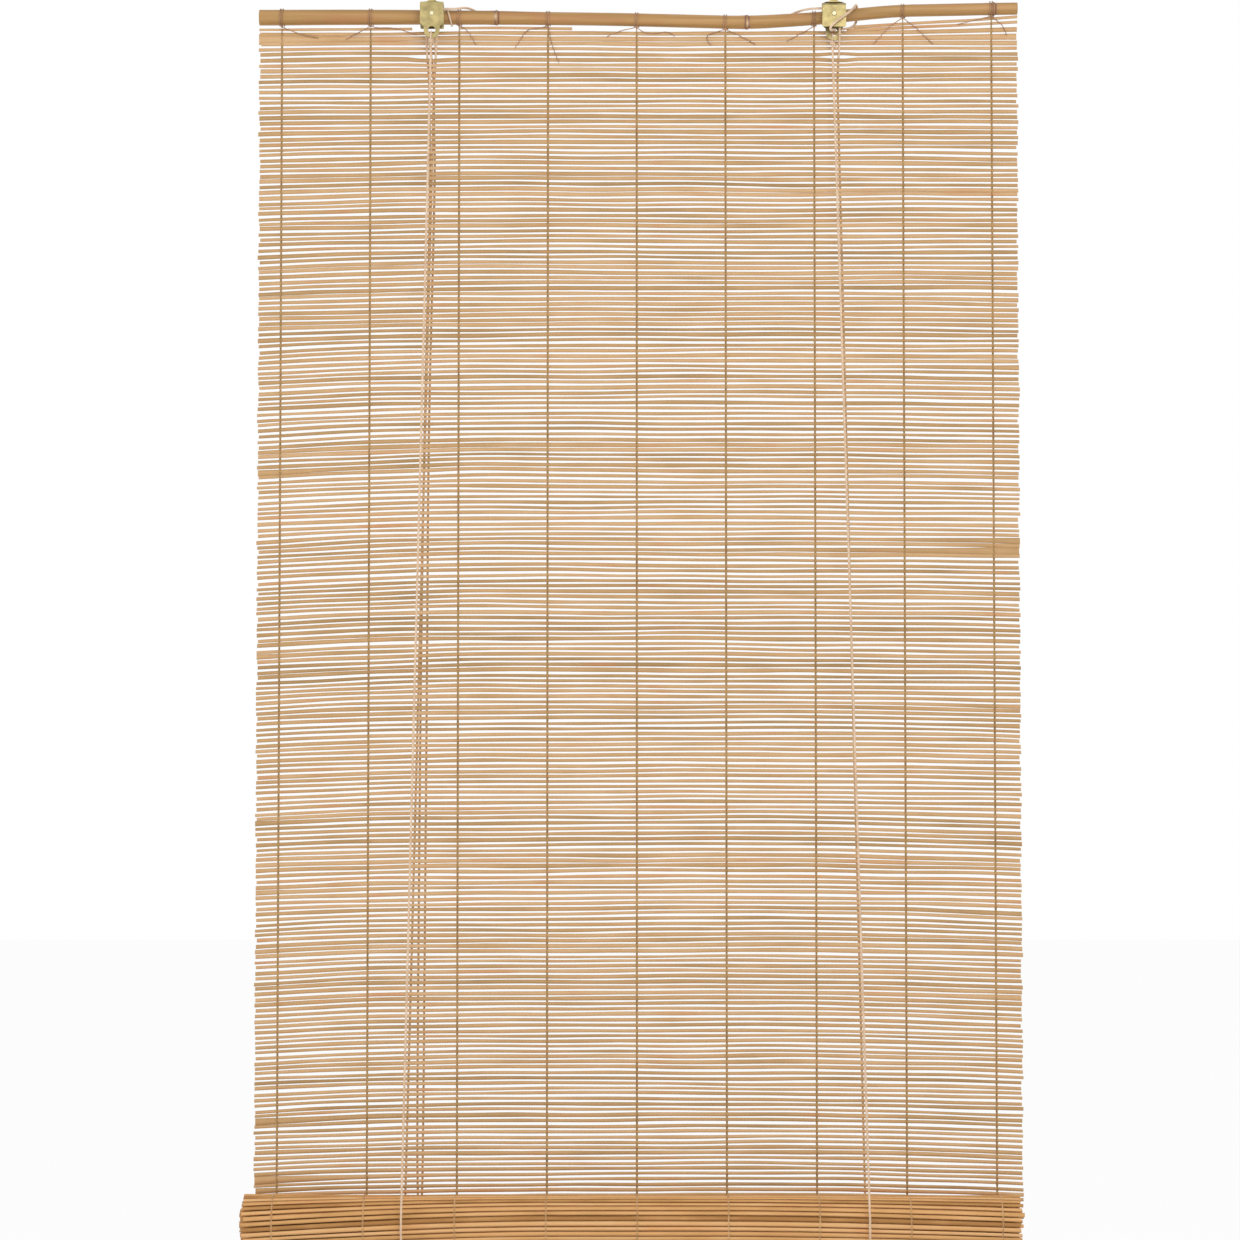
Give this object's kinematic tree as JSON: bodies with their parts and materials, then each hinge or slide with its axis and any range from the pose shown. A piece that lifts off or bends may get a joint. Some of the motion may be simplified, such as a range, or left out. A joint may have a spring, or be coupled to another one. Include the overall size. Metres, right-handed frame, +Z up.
{
  "type": "bamboo roll up blind",
  "caption": "Roll-up blind of thin bamboo slats on a bent bamboo pole, with brass pulley brackets, lift cords and its lower end rolled up.",
  "frame": {"origin": "midway between the two hanging holes, in the plane of the bracket straps", "axes": "+Z up, +X to the right seen from the room, +Y towards the wall"},
  "size_m": [0.9193, 0.0921, 1.5205],
  "materials": {
    "bamboo_pole": "satin, honey tan",
    "bamboo_slats": "matte split bamboo, peach tan",
    "warp_thread": "twisted jute, dark olive brown",
    "lift_cord": "twisted cotton, pale cream pink",
    "bracket_brass": "satin",
    "wheel": "satin",
    "screw_steel": "plain"
  },
  "bodies": {
    "head": {"cord_knot": "lift_cord", "crossing_cord": "lift_cord", "head_pole": "bamboo_pole", "left_axle_rivet": "bracket_brass", "left_back_run": "lift_cord", "left_eye_knot": "lift_cord", "left_fixing_screws": "screw_steel", "left_front_run": "lift_cord", "left_lashing": "lift_cord", "left_long_plate": "bracket_brass", "left_short_plate": "bracket_brass", "left_wheel_cord": "lift_cord", "pole_ties": "warp_thread", "pull_cord_a": "lift_cord", "pull_cord_b": "lift_cord", "right_axle_rivet": "bracket_brass", "right_back_run": "lift_cord", "right_eye_knot": "lift_cord", "right_fixing_screws": "screw_steel", "right_front_run": "lift_cord", "right_lashing": "lift_cord", "right_long_plate": "bracket_brass", "right_short_plate": "bracket_brass", "slat_curtain": "bamboo_slats", "warp_thread_1": "warp_thread", "warp_thread_2": "warp_thread", "warp_thread_3": "warp_thread", "warp_thread_4": "warp_thread", "warp_thread_5": "warp_thread", "warp_thread_6": "warp_thread", "warp_thread_7": "warp_thread", "warp_thread_8": "warp_thread", "warp_thread_9": "warp_thread"},
    "left_wheel": {"left_wheel": "wheel"},
    "right_wheel": {"right_wheel": "wheel"},
    "slings": {"left_sling": "lift_cord", "right_sling": "lift_cord"},
    "roll": {"rolled_slats": "bamboo_slats", "roll_threads": "warp_thread", "bottom_stick": "bamboo_pole"}
  },
  "joints": [
    {"name": "roll_lift", "type": "slide", "parent": "head", "child": "slings", "axis": [0, 0, 1], "range_m": [0, 1.32], "deforming": ["slat_curtain", "warp_thread_1", "warp_thread_2", "warp_thread_3", "warp_thread_4", "warp_thread_5", "warp_thread_6", "warp_thread_7", "warp_thread_8", "warp_thread_9", "left_front_run", "left_back_run", "right_front_run", "right_back_run"]},
    {"name": "roll_spin", "type": "hinge", "parent": "slings", "child": "roll", "pos_m": [0, -0.02093, -1.4445], "axis": [1, 0, 0], "range_deg": [-1705, 0]},
    {"name": "left_wheel_turn", "type": "hinge", "parent": "head", "child": "left_wheel", "pos_m": [-0.2378, 0, -0.0275], "axis": [0, 1, 0], "continuous": true},
    {"name": "right_wheel_turn", "type": "hinge", "parent": "head", "child": "right_wheel", "pos_m": [0.2378, 0, -0.0275], "axis": [0, 1, 0], "continuous": true}
  ],
  "couplings": [
    {"joint": "roll_spin", "follows": "roll_lift", "rad_per_m": -22.5},
    {"joint": "left_wheel_turn", "follows": "roll_lift", "rad_per_m": -294},
    {"joint": "right_wheel_turn", "follows": "roll_lift", "rad_per_m": -294}
  ]
}
